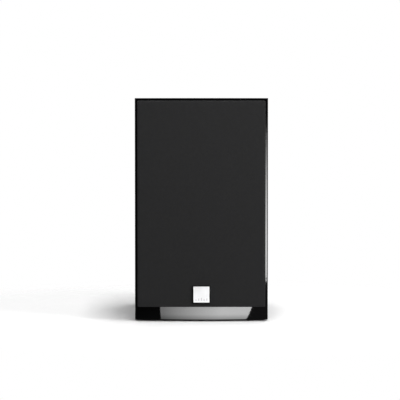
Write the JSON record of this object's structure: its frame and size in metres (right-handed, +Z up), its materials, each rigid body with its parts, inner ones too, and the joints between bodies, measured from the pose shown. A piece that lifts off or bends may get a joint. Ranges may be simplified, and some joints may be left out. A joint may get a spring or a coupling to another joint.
{
  "type": "bookshelf loudspeaker",
  "caption": "Compact two-way bookshelf loudspeaker with a bowed gloss front, a flat pull-off cloth grille, sprung drivers, a rear port and screw-down binding posts.",
  "frame": {"origin": "on the surface that the speaker stands on, under the middle of its bounding box", "axes": "+Z up; the grille faces -Y and the terminals +Y; +X is to the right of someone facing the grille"},
  "size_m": [0.162, 0.2282, 0.2715],
  "materials": {
    "gloss_black": "high gloss lacquer",
    "black_ash": "black wood-grain foil on board",
    "grille_cloth": "woven grille cloth",
    "black_plastic": "fine moulded texture",
    "badge_white": "satin white",
    "rubber": "matt",
    "cone_paper": "coated pulp",
    "painted_steel": "satin black",
    "plated_steel": "zinc plate",
    "ferrite": "matt grey",
    "copper": "enamelled copper wire",
    "spider_cloth": "resin-soaked cloth",
    "dome_silk": "coated silk",
    "gold_plate": "gold-coloured plate",
    "red_plastic": "red",
    "board_green": "green circuit board",
    "capacitor_film": "yellow film wrap",
    "white_cement": "rough white cement",
    "wadding": "white fibre"
  },
  "bodies": {
    "cabinet": {"bottom_panel": "black_ash", "capacitor": "capacitor_film", "crossover_board": "board_green", "damping_wadding": "wadding", "foot_front_left": "rubber", "foot_front_right": "rubber", "foot_rear_left": "rubber", "foot_rear_right": "rubber", "front_baffle": "gloss_black", "grille_cup_lower_left": "rubber", "grille_cup_lower_right": "rubber", "grille_cup_upper_left": "rubber", "grille_cup_upper_right": "rubber", "inductor_tweeter": "copper", "inductor_woofer": "copper", "port_tube": "black_plastic", "post_black_stud": "gold_plate", "post_red_stud": "gold_plate", "rear_panel": "black_ash", "resistor": "white_cement", "side_panel_left": "black_ash", "side_panel_right": "black_ash", "terminal_cup": "black_plastic", "terminal_screw_1": "painted_steel", "terminal_screw_2": "painted_steel", "terminal_screw_3": "painted_steel", "terminal_screw_4": "painted_steel", "top_panel": "black_ash", "tweeter_faceplate": "black_plastic", "tweeter_lead": "rubber", "tweeter_magnet": "ferrite", "tweeter_screw_1": "painted_steel", "tweeter_screw_2": "painted_steel", "tweeter_screw_3": "painted_steel", "tweeter_top_plate": "plated_steel", "tweeter_yoke": "plated_steel", "woofer_basket": "painted_steel", "woofer_lead": "rubber", "woofer_magnet": "ferrite", "woofer_screw_1": "painted_steel", "woofer_screw_2": "painted_steel", "woofer_screw_3": "painted_steel", "woofer_screw_4": "painted_steel", "woofer_spider": "spider_cloth", "woofer_surround": "rubber", "woofer_top_plate": "plated_steel", "woofer_yoke": "plated_steel"},
    "grille": {"grille_frame": "black_plastic", "grille_cloth": "grille_cloth", "badge_holder": "black_plastic", "badge_plate": "badge_white"},
    "woofer_moving": {"woofer_cone": "cone_paper", "woofer_dust_cap": "cone_paper", "woofer_voice_coil": "copper"},
    "tweeter_moving": {"tweeter_voice_coil": "copper", "tweeter_diaphragm": "dome_silk"},
    "post_red_clamp": {"post_red_washer": "gold_plate"},
    "post_red_knob": {"post_red_cap": "red_plastic"},
    "post_black_clamp": {"post_black_washer": "gold_plate"},
    "post_black_knob": {"post_black_cap": "black_plastic"}
  },
  "joints": [
    {"name": "grille_pull", "type": "slide", "parent": "cabinet", "child": "grille", "axis": [0, -1, 0], "range_m": [0, 0.04]},
    {"name": "woofer_excursion", "type": "slide", "parent": "cabinet", "child": "woofer_moving", "axis": [0, -1, 0], "range_m": [-0.004, 0.004], "stiffness_N_per_m": 1000, "deforming": ["woofer_surround", "woofer_spider"]},
    {"name": "tweeter_excursion", "type": "slide", "parent": "cabinet", "child": "tweeter_moving", "axis": [0, -1, 0], "range_m": [-0.0004, 0.0004], "stiffness_N_per_m": 500, "deforming": ["tweeter_diaphragm"]},
    {"name": "post_red_clamp_travel", "type": "slide", "parent": "cabinet", "child": "post_red_clamp", "axis": [0, 1, 0], "range_m": [0, 0.0056]},
    {"name": "post_red_knob_turn", "type": "hinge", "parent": "post_red_clamp", "child": "post_red_knob", "pos_m": [-0.0095, 0.10255, 0.062], "axis": [0, 1, 0], "range_deg": [0, 2521]},
    {"name": "post_black_clamp_travel", "type": "slide", "parent": "cabinet", "child": "post_black_clamp", "axis": [0, 1, 0], "range_m": [0, 0.0056]},
    {"name": "post_black_knob_turn", "type": "hinge", "parent": "post_black_clamp", "child": "post_black_knob", "pos_m": [0.0095, 0.10255, 0.062], "axis": [0, 1, 0], "range_deg": [0, 2521]}
  ],
  "couplings": [
    {"joint": "post_red_knob_turn", "follows": "post_red_clamp_travel", "rad_per_m": 7854},
    {"joint": "post_black_knob_turn", "follows": "post_black_clamp_travel", "rad_per_m": 7854}
  ]
}
